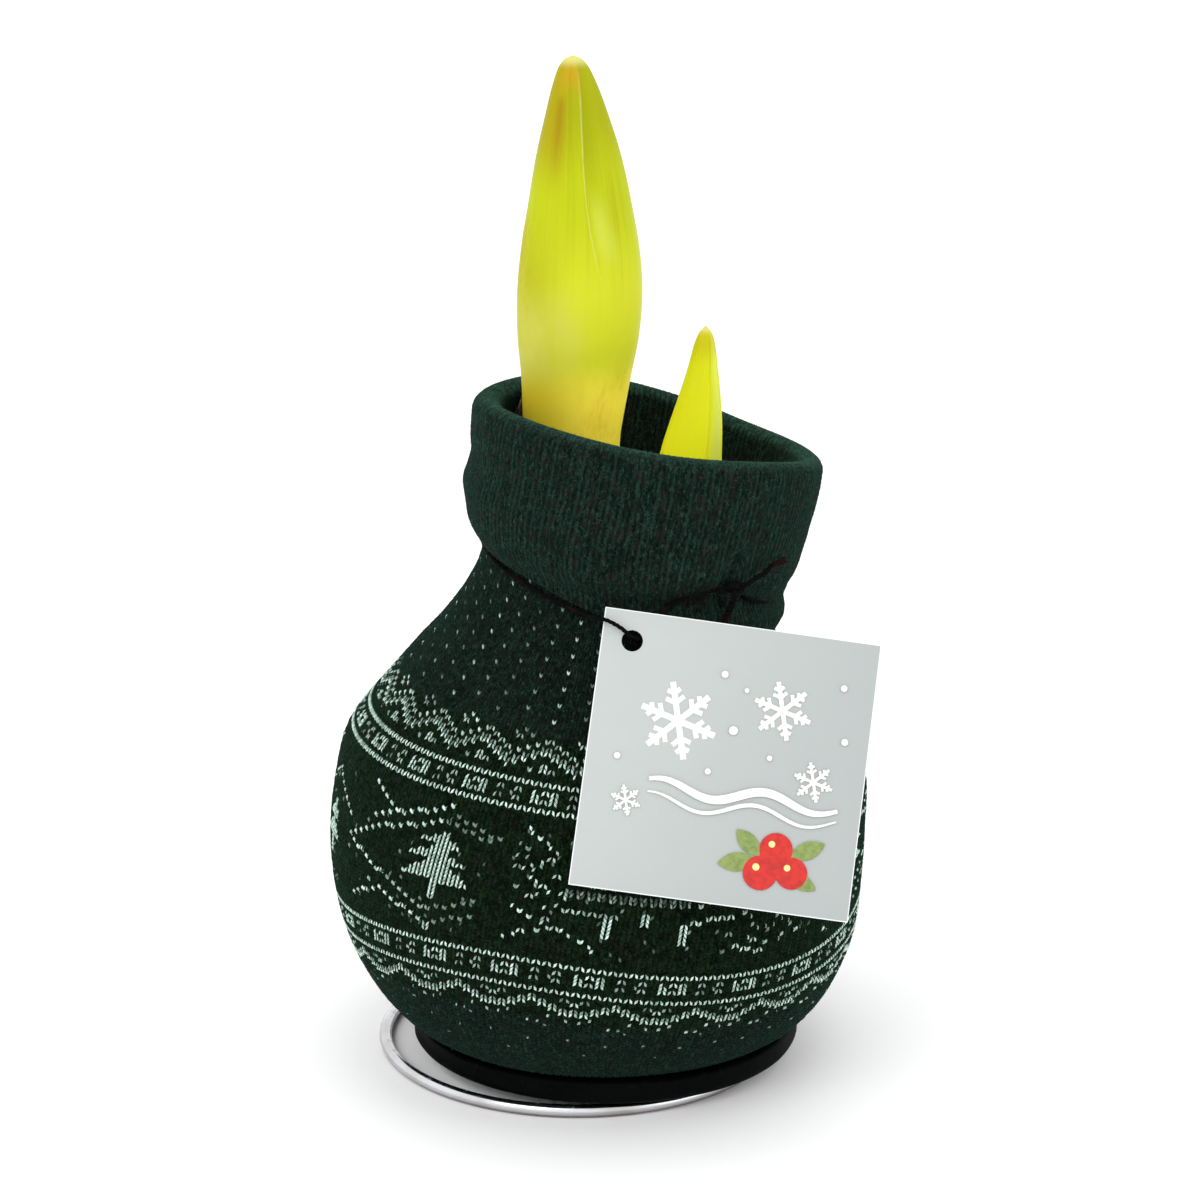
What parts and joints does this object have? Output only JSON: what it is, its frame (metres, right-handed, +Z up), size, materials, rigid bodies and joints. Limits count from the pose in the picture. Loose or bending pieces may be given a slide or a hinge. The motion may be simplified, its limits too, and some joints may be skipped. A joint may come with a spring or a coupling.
{
  "type": "waxed amaryllis bulb in a knitted sweater",
  "caption": "Waxed amaryllis bulb in a dark green knitted sweater with a pale winter pattern, with a tall bud and a short shoot, a card tag on a string and a bent wire stand.",
  "frame": {"origin": "on the surface that the wire stand rests on, under the middle of the part's box", "axes": "+Z up along the standing bulb, -Y towards the side with the tag, +X to the side that the neck leans to"},
  "size_m": [0.0976, 0.1004, 0.1808],
  "materials": {
    "dark_wax": "dark brown-black candle wax, satin",
    "bud_green": "yellow-green plant skin with fine streaks and a soft sheen",
    "shoot_green": "bright yellow-green plant skin with a soft sheen",
    "green_knit": "dark green jersey knit with white pattern stitches",
    "dark_string": "twisted black thread",
    "tag_card": "light grey satin card",
    "bright_wire": "bright drawn wire"
  },
  "bodies": {
    "root": {"bulb": "dark_wax", "tall_bud": "bud_green", "short_shoot": "shoot_green", "sweater": "green_knit", "string": "dark_string", "tag": "tag_card", "wire_stand": "bright_wire"}
  },
  "joints": []
}
